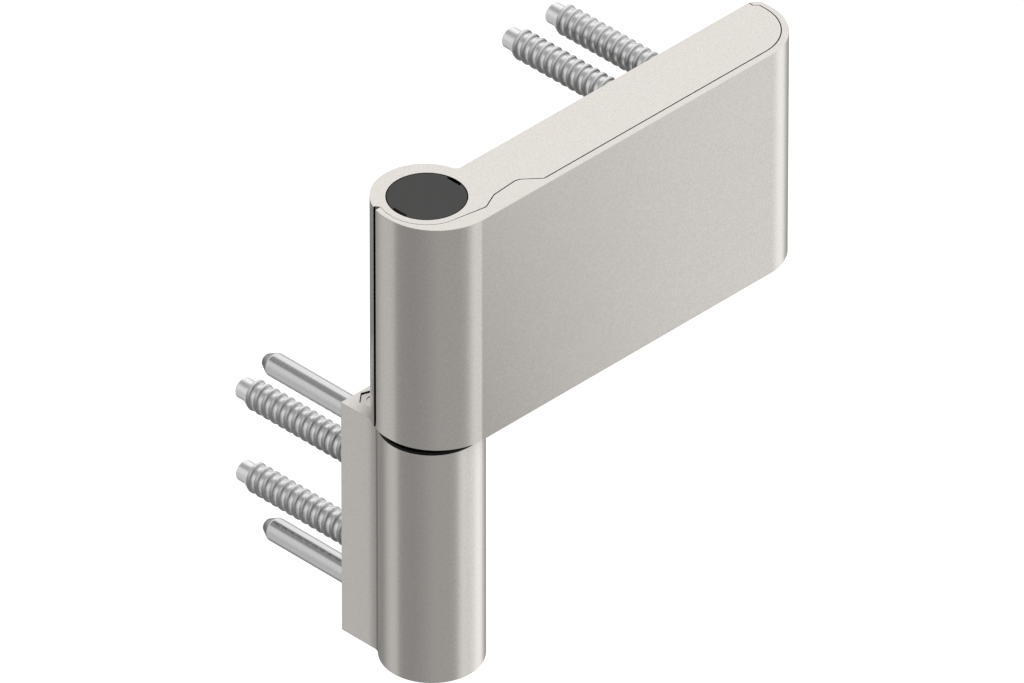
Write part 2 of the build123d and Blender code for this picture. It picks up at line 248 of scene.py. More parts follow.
def give_varied(
    tree: bpy.types.NodeTree, detail: float, roughness: float, contrast: str, spread: str
) -> bpy.types.NodeSocket:
    """Let a group vary the colour and roughness that it takes by a noise of its Scale input.

    Args:
        tree: The group.
        detail: The noise's detail.
        roughness: The noise's own roughness.
        contrast: The input that says how much the colour varies.
        spread: The input that says how much the roughness varies.

    Returns:
        The socket with the noise.
    """
    given = tree.nodes["Group Input"].outputs
    place = add_node(tree, "ShaderNodeTexCoord").outputs["Object"]
    look = {"Vector": place, "Scale": given["Scale"], "Detail": detail, "Roughness": roughness}
    noise = add_node(tree, "ShaderNodeTexNoise", look).outputs["Fac"]
    centred = calculate(tree, "SUBTRACT", noise, 0.5)
    give_scaled(tree, calculate(tree, "MULTIPLY_ADD", centred, given[contrast], 1.0))
    rough = calculate(tree, "MULTIPLY_ADD", centred, given[spread], given["Roughness"])
    tree.links.new(rough, tree.nodes["Group Output"].inputs["Roughness"])
    return noise


def grain_group() -> bpy.types.NodeTree:
    """Build the group for a fine, even speckle: a colour, a roughness and a height from one noise.

    Returns:
        The node group, with Color, Scale, Contrast, Roughness and Spread as its inputs.
    """
    tree = new_group(
        "fine_grain",
        {"Scale": 3000.0, "Contrast": 0.05, "Roughness": 0.3, "Spread": 0.05},
        ("Roughness", "Height"),
    )
    noise = give_varied(tree, 2.0, 0.6, "Contrast", "Spread")
    tree.links.new(noise, tree.nodes["Group Output"].inputs["Height"])
    return tree


def haze_group() -> bpy.types.NodeTree:
    """Build the group for broad, faint patches, as handling and polishing leave on a finished surface.

    Returns:
        The node group, with Color, Roughness, Scale and Amount as its inputs.
    """
    tree = new_group("handling_haze", {"Roughness": 0.3, "Scale": 60.0, "Amount": 0.03}, ("Roughness",))
    give_varied(tree, 3.0, 0.5, "Amount", "Amount")
    return tree


def crevice_painted_shade_group() -> bpy.types.NodeTree:
    """Build the group that paints shade into seams, grooves, thread roots and under overhangs, darker where
    less open sky reaches.

    Returns:
        The node group, with Color, Reach, Clear and Depth as its inputs.
    """
    tree = new_group("painted_shade_in_crevices", {"Reach": 0.001, "Clear": 0.55, "Depth": 1.6})
    given = tree.nodes["Group Input"].outputs
    # Painted shade: the less open sky a point sees within Reach, the darker its colour
    shade = add_node(tree, "ShaderNodeAmbientOcclusion", {"Distance": given["Reach"]}, samples=8)
    open_sky = map_range(tree, shade.outputs["AO"], (CLOSED_IN, given["Clear"]))
    give_scaled(tree, calculate(tree, "POWER", open_sky, given["Depth"]))
    return tree


def painted_crest_shade_group() -> bpy.types.NodeTree:
    """Build the group that paints shade on a rolled thread's crests by the mesh's crest attribute, less on
    crests that face upwards, as painted light.

    Returns:
        The node group, with Color, Tint and Top as its inputs. Tint is the level of the painted shade on
        crests, and Top its share on upward faces.
    """
    tree = new_group("crest_painted_shade", {"Tint": 1.0, "Top": 1.0})
    given = tree.nodes["Group Input"].outputs
    crest = add_node(tree, "ShaderNodeAttribute", attribute_name=CREST)
    place = add_node(tree, "ShaderNodeTexCoord")
    facing = add_node(tree, "ShaderNodeSeparateXYZ", {0: place.outputs["Normal"]})
    # Painted light: crests that face upwards keep only the Top share of the painted shade
    unlit_share = map_range(tree, facing.outputs["Z"], UPWARD, (1.0, given["Top"]))
    share = calculate(tree, "MULTIPLY", crest.outputs["Fac"], unlit_share)
    give_scaled(tree, map_range(tree, share, (0.0, 1.0), (1.0, given["Tint"])))
    return tree


def painted_front_shade_group() -> bpy.types.NodeTree:
    """Build the group that paints shade on the leaf's flat front, deeper towards the barrel and the lower
    edge.

    Returns:
        The node group, with Color and Amount as its inputs.
    """
    tree = new_group("front_painted_shade", {"Amount": 0.0})
    given = tree.nodes["Group Input"].outputs
    place = add_node(tree, "ShaderNodeTexCoord")
    spot = add_node(tree, "ShaderNodeSeparateXYZ", {0: place.outputs["Object"]})
    facing = add_node(tree, "ShaderNodeSeparateXYZ", {0: place.outputs["Normal"]})
    front = map_range(tree, facing.outputs["Y"], FRONT_FACING)
    near = map_range(tree, spot.outputs["X"], [x * MM for x in FRONT_X], (1.0, 0.0))
    curve = calculate(tree, "POWER", near, FRONT_CURVE)
    low = map_range(tree, spot.outputs["Z"], [z * MM for z in FRONT_Z], FRONT_HEIGHT_SHARE)
    drop = calculate(tree, "MULTIPLY_ADD", curve, low, FRONT_BASE)
    masked = calculate(tree, "MULTIPLY", drop, front)
    part = calculate(tree, "MULTIPLY", masked, given["Amount"])
    # Painted shade: the front's colour is scaled down by this mask
    give_scaled(tree, calculate(tree, "SUBTRACT", 1.0, part))
    return tree


def junction_group() -> bpy.types.NodeTree:
    """Build the group that shades the hollow where the frame's flange runs into its barrel.

    Returns:
        The node group, with Color and Amount as its inputs.
    """
    tree = new_group("junction_shade", {"Amount": 0.0})
    given = tree.nodes["Group Input"].outputs
    place = add_node(tree, "ShaderNodeTexCoord")
    spot = add_node(tree, "ShaderNodeSeparateXYZ", {0: place.outputs["Object"]})
    across = calculate(tree, "ABSOLUTE", spot.outputs["X"])
    plan = add_node(tree, "ShaderNodeCombineXYZ", {"X": across, "Y": spot.outputs["Y"]})
    away = add_node(
        tree,
        "ShaderNodeVectorMath",
        {0: plan.outputs["Vector"], 1: Vector(JUNCTION) * MM},
        operation="DISTANCE",
    )
    least = calculate(tree, "SUBTRACT", 1.0, given["Amount"])
    reach = [distance * MM for distance in JUNCTION_REACH]
    give_scaled(tree, map_range(tree, away.outputs["Value"], reach, (least, 1.0), "SMOOTHSTEP"))
    return tree


@dataclass(frozen=True)
class Finish:
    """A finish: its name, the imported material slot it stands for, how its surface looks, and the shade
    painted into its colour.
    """

    name: str
    slot: str
    color: tuple[float, float, float]
    metallic: float = 1.0
    specular: float = 0.5
    roughness: float = 0.2
    grain_scale: float = 3000.0
    grain_contrast: float = 0.3
    grain_spread: float = 0.1
    bump: float = 0.1
    # Painted shade: on crests, in crevices and under overhangs, across the leaf's front and in the frame's
    # hollow
    crest_painted_shade: float = 1.0
    crest_top: float = 1.0
    crevice_reach: float = 1.0
    crevice_clear: float = 0.55
    crevice_depth: float = 1.6
    falloff: float = 0.0
    junction: float = 0.0
    haze_scale: float = 60.0
    haze_amount: float = 0.04

    def build(self, groups: dict[str, bpy.types.NodeTree]) -> bpy.types.Material:
        """Make the finish's material from the shared groups.

        Args:
            groups: The shared node groups by name.

        Returns:
            The material.
        """
        material = bpy.data.materials.new(self.name)
        material.use_nodes = True
        tree = material.node_tree
        surface = tree.nodes["Principled BSDF"]
        crevice = {"Reach": self.crevice_reach * MM, "Clear": self.crevice_clear, "Depth": self.crevice_depth}
        patches = {"Roughness": self.roughness, "Scale": self.haze_scale, "Amount": self.haze_amount}
        speckle = {"Scale": self.grain_scale, "Contrast": self.grain_contrast, "Spread": self.grain_spread}
        # The colour passes through the painted shades in turn, then through the haze and grain
        shades = (
            ("crevice", crevice),
            ("crest", {"Tint": self.crest_painted_shade, "Top": self.crest_top}),
            ("falloff", {"Amount": self.falloff}),
            ("junction", {"Amount": self.junction}),
        )
        color = (*self.color, 1.0)
        for name, settings in shades:
            shade = add_node(tree, "ShaderNodeGroup", {"Color": color, **settings}, node_tree=groups[name])
            color = shade.outputs["Color"]
        haze = add_node(tree, "ShaderNodeGroup", {"Color": color, **patches}, node_tree=groups["haze"])
        dull = {"Color": haze.outputs["Color"], "Roughness": haze.outputs["Roughness"]}
        grain = add_node(tree, "ShaderNodeGroup", {**dull, **speckle}, node_tree=groups["grain"])
        tree.links.new(grain.outputs["Color"], surface.inputs["Base Color"])
        tree.links.new(grain.outputs["Roughness"], surface.inputs["Roughness"])
        surface.inputs["Metallic"].default_value = self.metallic
        surface.inputs["Specular IOR Level"].default_value = self.specular
        relief = add_node(
            tree,
            "ShaderNodeBump",
            {"Strength": self.bump, "Distance": RELIEF_DEPTH * MM, "Height": grain.outputs["Height"]},
        )
        tree.links.new(relief.outputs["Normal"], surface.inputs["Normal"])
        return material


SATIN = (0.665, 0.635, 0.6)
FINISHES = (
    # The three satin finishes are one satin nickel with different painted shade: deep crevice shade on the
    # leaf's casting, shade across the leaf's front, and shade under the leaf's barrel and in the hollow on
    # the frame
    Finish(
        "body_satin_shaded",
        "satin_nickel",
        SATIN,
        grain_contrast=0.4,
        crevice_reach=1.6,
        crevice_clear=0.8,
        crevice_depth=3.5,
    ),
    Finish(
        "front_satin_shaded",
        "satin_nickel",
        SATIN,
        grain_contrast=0.36,
        crevice_reach=1.6,
        crevice_clear=0.8,
        crevice_depth=3.5,
        falloff=0.33,
    ),
    Finish(
        "frame_satin_shaded",
        "satin_nickel",
        SATIN,
        grain_contrast=0.28,
        crevice_reach=9.0,
        crevice_clear=0.93,
        junction=0.3,
    ),
    Finish("cast_core", "core_metal", (0.55, 0.55, 0.54), roughness=0.42, grain_scale=1200.0, bump=0.5),
    # Both zincs darken the crest attribute's vertices; on the screws' thread that is painted shade, mostly
    # kept off upward crests as painted light
    Finish("bright_zinc", "zinc_steel", (0.66, 0.66, 0.665), roughness=0.21, crest_painted_shade=0.45),
    Finish(
        "thread_zinc",
        "zinc_steel",
        (0.82, 0.82, 0.825),
        roughness=0.34,
        crest_painted_shade=0.45,
        crest_top=0.1,
        crevice_reach=0.3,
        crevice_clear=0.25,
    ),
    Finish("nut_nickel", "zinc_steel", (0.475, 0.455, 0.435), roughness=0.25, crevice_reach=0.5),
    Finish("ground_steel", "pin_steel", (0.58, 0.58, 0.59), grain_contrast=0.08),
    Finish(
        "black_plastic",
        "black_plastic",
        (0.003, 0.003, 0.003),
        metallic=0.0,
        specular=0.15,
        roughness=0.5,
    ),
    Finish("cap_plastic", "cap_plastic", (0.047, 0.0465, 0.0455), metallic=0.0, specular=0.3, roughness=0.55),
    Finish(
        "bearing_plastic",
        "bearing_plastic",
        (0.78, 0.78, 0.76),
        metallic=0.0,
        roughness=0.4,
        grain_contrast=0.05,
    ),
)


# Shapes drawn with mesh operators, in millimetres


class Pen:
    """Draws an outline one stretch at a time and turns it into a solid.

    The mesh is in millimetres until it becomes an object, which is in metres.
    """

    def __init__(self, start: Point) -> None:
        """Put the pen down.

        Args:
            start: The first point.
        """
        self.mesh = bmesh.new()
        self.tip = bmesh.ops.create_vert(self.mesh, co=Vector(start))["vert"][0]

    def line(self, *points: Point) -> "Pen":
        """Draw straight stretches through some points.

        Args:
            *points: The points, in order.

        Returns:
            The pen itself.
        """
        for point in points:
            self.tip = bmesh.ops.extrude_vert_indiv(self.mesh, verts=[self.tip])["verts"][0]
            self.tip.co = Vector(point)
        return self

    def arc(self, centre: Point, degrees: float, axis: Axis = Axis.Z) -> "Pen":
        """Draw a round stretch from the tip about a centre.

        Args:
            centre: The arc's centre.
            degrees: The sweep, anticlockwise if positive.
            axis: The axis through the centre.

        Returns:
            The pen itself.
        """
        made = bmesh.ops.spin(
            self.mesh,
            geom=[self.tip],
            cent=Vector(centre),
            axis=axis.value,
            angle=math.radians(degrees),
            steps=max(2, round(abs(degrees) / ARC_STEP)),
            use_duplicate=False,
        )
        self.tip = next(item for item in made["geom_last"] if isinstance(item, bmesh.types.BMVert))
        return self

    def close(self) -> bmesh.types.BMFace:
        """Join the outline's ends and fill it.

        Returns:
            The outline's face.
        """
        first = self.mesh.verts[:][0]
        if (self.tip.co - first.co).length > MERGE_DISTANCE / MM:
            self.mesh.edges.new((self.tip, first))
        bmesh.ops.remove_doubles(self.mesh, verts=self.mesh.verts, dist=MERGE_DISTANCE / MM)
        return bmesh.ops.contextual_create(self.mesh, geom=self.mesh.edges[:])["faces"][0]

    def round_corner(self, point: Point, radius: float, segments: int = 6) -> None:
        """Round one corner of the filled outline.

        Args:
            point: Where the corner is.
            radius: The rounding's radius.
            segments: How many edges the rounding gets.
        """
        corner = min(self.mesh.verts, key=lambda v: (v.co - Vector(point)).length)
        one, other = (edge.other_vert(corner).co - corner.co for edge in corner.link_edges[:2])
        bmesh.ops.bevel(
            self.mesh,
            geom=[corner],
            offset=radius / math.tan(one.angle(other) / 2),
            segments=segments,
            profile=0.5,
            material=-1,
            affect="VERTICES",
        )

    def raise_by(self, height: Point) -> None:
        """Extrude every face along a vector, so that the outline becomes a prism.

        Args:
            height: The extrusion's length and direction.
        """
        made = bmesh.ops.extrude_face_region(self.mesh, geom=self.mesh.faces[:], use_keep_orig=True)
        moved = [item for item in made["geom"] if isinstance(item, bmesh.types.BMVert)]
        bmesh.ops.translate(self.mesh, verts=moved, vec=Vector(height))
        self.tidy()

    def spin_round(self, centre: Point, axis: Axis, steps: int) -> None:
        """Spin the drawn line a full turn into a turned piece.

        Args:
            centre: A point on the axis.
            axis: The axis to spin about.
            steps: How many flats make up the turn.
        """
        bmesh.ops.spin(
            self.mesh,
            geom=self.mesh.verts[:] + self.mesh.edges[:],
            cent=Vector(centre),
            axis=axis.value,
            angle=math.tau,
            steps=steps,
            use_merge=True,
            use_duplicate=False,
        )
        self.tidy()

    def bevel_edges(
        self, chosen: Callable[[bmesh.types.BMEdge], bool], width: float, segments: int = 2
    ) -> None:
        """Bevel the edges that a test picks.

        Args:
            chosen: Says whether an edge is bevelled.
            width: The bevel's width.
            segments: How many strips make up the bevel.
        """
        bmesh.ops.bevel(
            self.mesh,
            geom=[edge for edge in self.mesh.edges if chosen(edge)],
            offset=width,
            segments=segments,
            profile=0.5,
            material=-1,
            affect="EDGES",
            clamp_overlap=True,
        )

    def tidy(self) -> None:
        """Merge doubled vertices and turn the faces outwards."""
        bmesh.ops.remove_doubles(self.mesh, verts=self.mesh.verts, dist=MERGE_DISTANCE / MM)
        bmesh.ops.recalc_face_normals(self.mesh, faces=self.mesh.faces)

    def take(self, other: "Pen") -> None:
        """Add another pen's solid to this one.

        Args:
            other: The pen that is used up.
        """
        spare = bpy.data.meshes.new("spare")
        other.mesh.to_mesh(spare)
        other.mesh.free()
        self.mesh.from_mesh(spare)
        bpy.data.meshes.remove(spare)

    def object(self, name: str) -> bpy.types.Object:
        """Turn the solid into an object in metres, with smooth rounds and crisp edges.

        Args:
            name: The piece's name.

        Returns:
            The object, linked into the scene.
        """
        bmesh.ops.scale(self.mesh, vec=Vector((MM, MM, MM)), verts=self.mesh.verts)
        for face in self.mesh.faces:
            face.smooth = True
        for edge in self.mesh.edges:
            edge.smooth = len(edge.link_faces) != 2 or edge.calc_face_angle(0.0) < SHARP_ANGLE
        data = bpy.data.meshes.new(name)
        self.mesh.to_mesh(data)
        self.mesh.free()
        piece = bpy.data.objects.new(name, data)
        bpy.context.scene.collection.objects.link(piece)
        keep_flats(piece)
        return piece


def keep_flats(piece: bpy.types.Object) -> None:
    """Let large faces decide the shading, so that flats stay flat beside rounded edges.

    Args:
        piece: The object that gets the modifier.
    """
    flats = piece.modifiers.new("true_flats", "WEIGHTED_NORMAL")
    flats.keep_sharp = True
    flats.weight = 90


def level_rim(edge: bmesh.types.BMEdge) -> bool:
    """Say whether an edge lies between a level face and an upright one.

    Args:
        edge: The edge.

    Returns:
        Whether it is part of such a rim.
    """
    if len(edge.link_faces) != 2:
        return False
    tops = [abs(face.normal.z) > 0.9 for face in edge.link_faces]
    return tops[0] != tops[1]


@dataclass
class Dresser:
    """Gives pieces their finish and body, and reports them."""

    materials: dict[str, tuple[bpy.types.Material, str]]

    def put(self, piece: bpy.types.Object, finish: str, body: Body, *nodes: str) -> bpy.types.Object:
        """Finish a new piece and let it stand for CAD nodes.

        Args:
            piece: The new object.
            finish: The finish's name.
            body: The body that the piece moves with.
            *nodes: The CAD nodes that it replaces.

        Returns:
            The same object.
        """
        material, slot = self.materials[finish]
        piece.data.materials.clear()
        piece.data.materials.append(material)
        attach(piece, body.value)
        if nodes:
            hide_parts(*nodes)
        log.info("%s: %d faces, rides on %s", piece.name, len(piece.data.polygons), body.value)
        return piece

    def keep(self, node: str, finish: str, edge: float = 0.0) -> None:
        """Keep a CAD node, with its finish, smooth rounds and softened edges.

        Args:
            node: The node's name.
            finish: The finish's name.
            edge: The width of the softened edges in millimetres, or nothing for none.
        """
        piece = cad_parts[node]
        piece.data.materials.clear()
        piece.data.materials.append(self.materials[finish][0])
        for face in piece.data.polygons:
            face.use_smooth = True
        weld = piece.modifiers.new("weld", "WELD")
        weld.merge_threshold = MERGE_DISTANCE
        flatten = piece.modifiers.new("flatten", "DECIMATE")
        flatten.decimate_type = "DISSOLVE"
        flatten.angle_limit = FLAT_ANGLE
        if edge:
            bevel = piece.modifiers.new("soft_edges", "BEVEL")
            bevel.width = edge * MM
            bevel.segments = 2
            bevel.limit_method = "ANGLE"
            bevel.angle_limit = SHARP_ANGLE
            bevel.harden_normals = False
        split = piece.modifiers.new("crisp_edges", "EDGE_SPLIT")
        split.split_angle = SHARP_ANGLE
        keep_flats(piece)
        log.info("%s: kept, with its finish", node)


# The hinge's sub-assemblies


@dataclass
class FramePart:
    """The lower part, which is fixed to the door frame: barrel, flange, collar, nut and dowels."""

    pin_y: float = -18.5
    collar_radius: float = 10.9
    collar_bore: float = 5.05
    collar_neck: float = 7.18
    collar_edge: float = 0.12
    collar_steps: int = 96
    dowel_radius: float = 2.6
    spigot_radius: float = 2.0
    dowel_nose: float = 2.4
    dowel_tip: float = 1.3
    dowel_steps: int = 64
    nose_angle: float = 20.0
    nose_margin: float = 1.0
    nose_rounding: float = 0.35
    nose_segments: int = 4
    nose_fade: float = 0.4
    nut_across_flats: float = 5.5
    nut_bore: float = 1.52
    nut_x: float = -1.8
    nut_y: float = -3.9
    nut_turn: float = 40.0
    nut_edge: float = 0.15

    def collar(self) -> bpy.types.Object:
        """Turn the black flanged bush that fills the gap between the barrels.

        Returns:
            The collar's object.
        """
        low, high = (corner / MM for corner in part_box("frame_bush"))
        seat = (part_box("frame_cover")[1] / MM).z
        pen = Pen((self.collar_bore, self.pin_y, low.z))
        pen.line(
            (self.collar_neck, self.pin_y, low.z),
            (self.collar_neck, self.pin_y, seat),
            (self.collar_radius, self.pin_y, seat),
            (self.collar_radius, self.pin_y, high.z),
            (self.collar_bore, self.pin_y, high.z),
        )
        pen.mesh.faces.remove(pen.close())
        pen.spin_round((0.0, self.pin_y, 0.0), Axis.Z, self.collar_steps)
        pen.bevel_edges(lambda e: e.calc_face_angle(0.0) > SHARP_ANGLE, self.collar_edge)
        return pen.object("collar")

    def dowel(self, node: str) -> bpy.types.Object:
        """Turn one plain dowel with a tapered, rounded nose, which the crest attribute darkens as it does a
        thread's crests.

        Args:
            node: The CAD node that it stands for.

        Returns:
            The dowel's object.
        """
        low, high = (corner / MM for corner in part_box(node))
        z = (low.z + high.z) / 2
        shoulder = high.y - self.dowel_nose
        pen = Pen((0.0, low.y, z))
        pen.line((self.spigot_radius, low.y, z), (self.spigot_radius, 0.0, z), (self.dowel_radius, 0.0, z))
        pen.line((self.dowel_radius, shoulder, z), (self.dowel_tip, high.y, z), (0.0, high.y, z))
        pen.spin_round((0.0, 0.0, z), Axis.Y, self.dowel_steps)
        least = math.radians(self.nose_angle)
        start = shoulder - self.nose_margin
        pen.bevel_edges(
            lambda e: e.calc_face_angle(0.0) > least and min(v.co.y for v in e.verts) > start,
            self.nose_rounding,
            self.nose_segments,
        )
        piece = pen.object(node + "_turned")
        nose = piece.data.attributes.new(CREST, "FLOAT", "POINT")
        for vertex, value in zip(piece.data.vertices, nose.data):
            value.value = min(1.0, max(0.0, (vertex.co.y / MM - shoulder) / self.nose_fade))
        return piece

    def nut(self) -> bpy.types.Object:
        """Make the hexagonal nut that stands in the flange's top face.

        Returns:
            The nut's object.
        """
        low, high = (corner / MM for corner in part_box("dowel_lock_nut"))
        centre = Vector((self.nut_x, self.nut_y, low.z))
        # The circle's first corner lies at 90 degrees
        turn = Matrix.Rotation(math.radians(self.nut_turn - 90.0), 4, "Z")
        pen = Pen(centre + Vector((self.nut_bore, 0.0, 0.0)))
        pen.arc(centre, 360.0)
        pen.tidy()
        bmesh.ops.create_circle(
            pen.mesh,
            segments=6,
            radius=self.nut_across_flats / math.sqrt(3.0),
            matrix=Matrix.Translation(centre) @ turn,
        )
        bmesh.ops.triangle_fill(pen.mesh, edges=pen.mesh.edges[:], use_beauty=True, normal=Axis.Z.value)
        pen.raise_by((0.0, 0.0, high.z - low.z))
        pen.bevel_edges(level_rim, self.nut_edge)
        return pen.object("lock_nut_hexagon")

    def build(self, dresser: Dresser) -> None:
        """Make the frame part's pieces and dress them.

        Args:
            dresser: Gives the pieces their finish and body.
        """
        dresser.put(self.collar(), "black_plastic", Body.FRAME, "frame_bush")
        for node in ("dowel_upper", "dowel_lower"):
            dresser.put(self.dowel(node), "bright_zinc", Body.FRAME, node)
        dresser.put(self.nut(), "nut_nickel", Body.FRAME, "dowel_lock_nut")
        dresser.keep("frame_cover", "frame_satin_shaded", 0.1)
        dresser.keep("frame_body", "cast_core", 0.1)
        dresser.keep("frame_end_cap", "cap_plastic", 0.15)
        dresser.keep("dowel_lock_screw", "nut_nickel")
        dresser.keep("pin_key_screw", "bright_zinc")


@dataclass
class WoodScrews:
    """The six wood screws, with a coarse rounded thread and a plain blunt tip."""

    crest_radius: float = 3.25
    root_radius: float = 2.62
    pitch: float = 2.17
    ridge_width: float = 1.15
    ridge_points: int = 9
    steps: int = 48
    run_in: float = 1.0
    tip_radius: float = 2.3
    tip_length: float = 3.0
    tip_edge: float = 0.35
    tip_segments: int = 3
    shank_radius: float = 2.9
    head_radius: float = 5.0
    head_height: float = 3.6
    head_edge: float = 0.2
    seat_depth: float = 5.5

    def thread(self, centre: Vector, start: float, end: float) -> Pen:
        """Wind the thread from one plane to another.

        Args:
            centre: A point on the screw's axis.
            start: Where the thread starts along Y.
            end: Where it ends.

        Returns:
            A pen that holds the closed threaded body.
        """
        low = start - self.pitch
        height = self.crest_radius - self.root_radius
        pen = Pen(centre + Vector((self.root_radius, low, 0.0)))
        for step in range(self.ridge_points + 1):
            turn = math.pi * step / self.ridge_points
            along = self.pitch / 2 - math.cos(turn) * self.ridge_width / 2
            pen.line(centre + Vector((self.root_radius + height * math.sin(turn), low + along, 0.0)))
        pen.line(centre + Vector((self.root_radius, low + self.pitch, 0.0)))
        turns = math.ceil((end - low) / self.pitch) + 1
        bmesh.ops.spin(
            pen.mesh,
            geom=pen.mesh.verts[:] + pen.mesh.edges[:],
            cent=centre,
            axis=Axis.Y.value,
            dvec=Vector((0.0, self.pitch / self.steps, 0.0)),
            angle=math.tau * turns,
            steps=self.steps * turns,
            use_duplicate=False,
        )
        pen.tidy()
        for plane, outer in ((start, False), (end, True)):
            bmesh.ops.bisect_plane(
                pen.mesh,
                geom=pen.mesh.verts[:] + pen.mesh.edges[:] + pen.mesh.faces[:],
                plane_co=Vector((0.0, plane, 0.0)),
                plane_no=Axis.Y.value,
                clear_outer=outer,
                clear_inner=not outer,
            )
        rims = [edge for edge in pen.mesh.edges if len(edge.link_faces) == 1]
        bmesh.ops.edgeloop_fill(pen.mesh, edges=rims)
        pen.tidy()
        return pen

    def screw(self, node: str) -> bpy.types.Object:
        """Make one screw in place of its plain solid.

        Args:
            node: The CAD node that it stands for.

        Returns:
            The screw's object.
        """
        low, high = (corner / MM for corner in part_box(node))
        centre = Vector(((low.x + high.x) / 2, 0.0, (low.z + high.z) / 2))
        seat = low.y + self.head_height
        face = seat + self.seat_depth
        thread_end = high.y - self.tip_length
        pen = Pen(centre + Vector((0.0, low.y, 0.0)))
        pen.line(
            centre + Vector((self.head_radius, low.y, 0.0)),
            centre + Vector((self.head_radius, seat, 0.0)),
            centre + Vector((self.shank_radius, seat, 0.0)),
            centre + Vector((self.shank_radius, face, 0.0)),
            centre + Vector((0.0, face, 0.0)),
        )
        pen.spin_round(centre, Axis.Y, self.steps)
        pen.bevel_edges(lambda e: e.calc_face_angle(0.0) > SHARP_ANGLE, self.head_edge)
        tip = Pen(centre + Vector((0.0, thread_end - self.pitch, 0.0)))
        tip.line(
            centre + Vector((self.tip_radius, thread_end - self.pitch, 0.0)),
            centre + Vector((self.tip_radius, high.y, 0.0)),
            centre + Vector((0.0, high.y, 0.0)),
        )
        tip.spin_round(centre, Axis.Y, self.steps)
        tip.bevel_edges(lambda e: e.calc_face_angle(0.0) > SHARP_ANGLE, self.tip_edge, self.tip_segments)
        pen.take(self.thread(centre, face - self.run_in, thread_end))
        pen.take(tip)
        piece = pen.object(node + "_threaded")
        self.mark_crest(piece, centre, face)
        return piece

    def mark_crest(self, piece: bpy.types.Object, centre: Vector, face: float) -> None:
        """Store how near each vertex of the thread is to its crest.

        Args:
            piece: The screw's object.
            centre: A point on the screw's axis.
            face: The Y of the back face that the thread stands out of.
        """
        crest = piece.data.attributes.new(CREST, "FLOAT", "POINT")
        height = self.crest_radius - self.root_radius
        for vertex, value in zip(piece.data.vertices, crest.data):
            place = vertex.co / MM - centre
            rise = (math.hypot(place.x, place.z) - self.root_radius) / height
            value.value = min(1.0, max(0.0, rise * 2.0)) if place.y > face - self.run_in else 0.0

    def build(self, dresser: Dresser) -> None:
        """Make and dress all the screws.

        Args:
            dresser: Gives the pieces their finish and body.
        """
        for node in sorted(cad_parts):
            if node.startswith("frame_screw"):
                dresser.put(self.screw(node), "thread_zinc", Body.FRAME, node)
            elif node.startswith("leaf_screw"):
                dresser.put(self.screw(node), "thread_zinc", Body.LEAF, node)


